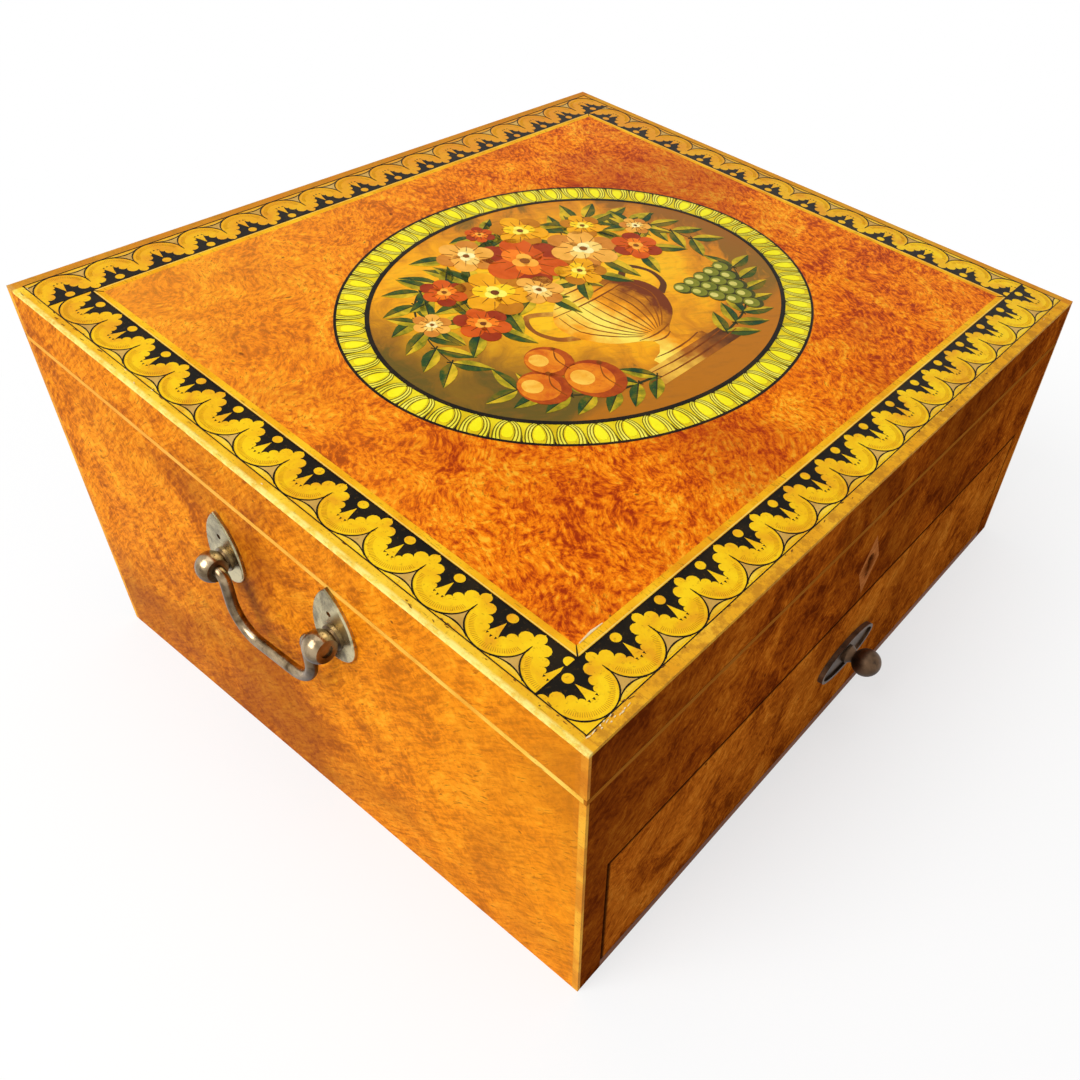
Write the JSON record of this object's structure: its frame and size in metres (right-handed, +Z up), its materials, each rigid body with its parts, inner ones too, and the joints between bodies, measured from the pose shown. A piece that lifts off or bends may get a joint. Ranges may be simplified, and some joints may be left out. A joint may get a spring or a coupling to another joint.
{
  "type": "writing box",
  "caption": "Writing box with a hinged sloping lid, penwork border, a drawer in the front and a bail handle on each side.",
  "frame": {"origin": "centre of the underside of the box", "axes": "+X to the right along the front, +Y from the front to the back, +Z up"},
  "size_m": [0.3446, 0.2855, 0.16],
  "materials": {
    "carcass": "oiled mahogany",
    "burr_veneer": "polished burr wood",
    "boxwood": "polished boxwood",
    "penwork": "penwork in black and yellow under varnish",
    "medallion": "painted and varnished panel",
    "brass": "aged brass",
    "steel": "steel",
    "paper": "lining paper"
  },
  "bodies": {
    "base": {"base_back": "carcass", "base_back_veneer": "burr_veneer", "base_corner_lines": "boxwood", "base_front": "carcass", "base_front_veneer": "burr_veneer", "base_left_side": "carcass", "base_left_veneer": "burr_veneer", "base_right_side": "carcass", "base_right_veneer": "burr_veneer", "base_rim_line": "boxwood", "base_screws": "brass", "bottom_board": "carcass", "drawer_ceiling": "carcass", "escutcheon": "boxwood", "floor_lining": "paper", "handle_nuts": "brass", "handle_plates": "brass", "handle_posts": "brass", "hinge_pins": "steel", "left_hinge_base_leaf": "brass", "lock_bolt": "brass", "lock_case": "brass", "right_hinge_base_leaf": "brass", "well_divisions": "carcass", "well_partition": "carcass"},
    "lid": {"left_hinge_lid_leaf": "brass", "lid_back_rim": "carcass", "lid_back_veneer": "burr_veneer", "lid_board": "carcass", "lid_border": "penwork", "lid_burr_panel": "burr_veneer", "lid_corner_lines": "boxwood", "lid_edging": "boxwood", "lid_front_rim": "carcass", "lid_front_veneer": "burr_veneer", "lid_left_rim": "carcass", "lid_left_veneer": "burr_veneer", "lid_lining": "paper", "lid_right_rim": "carcass", "lid_right_veneer": "burr_veneer", "lid_screws": "brass", "lid_stringing": "boxwood", "lock_striker": "brass", "medallion_panel": "medallion", "medallion_ring": "penwork", "right_hinge_lid_leaf": "brass"},
    "drawer": {"drawer_back": "carcass", "drawer_bottom": "carcass", "drawer_dividers": "carcass", "drawer_front": "carcass", "drawer_left_side": "carcass", "drawer_long_divider": "carcass", "drawer_right_side": "carcass", "drawer_veneer": "burr_veneer", "pull_knob": "brass", "pull_nut": "brass", "pull_plate": "brass"},
    "left_bail": {"left_bail": "brass"},
    "right_bail": {"right_bail": "brass"}
  },
  "joints": [
    {"name": "lid_hinge", "type": "hinge", "parent": "base", "child": "lid", "pos_m": [0, 0.1354, 0.14237], "axis": [-1, 0, 0], "range_deg": [0, 100]},
    {"name": "drawer_slide", "type": "slide", "parent": "base", "child": "drawer", "axis": [0, -1, 0], "range_m": [0, 0.18]},
    {"name": "left_bail_swing", "type": "hinge", "parent": "base", "child": "left_bail", "pos_m": [-0.1668, -0.0065, 0.096], "axis": [0, 1, 0], "range_deg": [-8, 188]},
    {"name": "right_bail_swing", "type": "hinge", "parent": "base", "child": "right_bail", "pos_m": [0.1668, -0.0065, 0.096], "axis": [0, -1, 0], "range_deg": [-8, 188]}
  ]
}
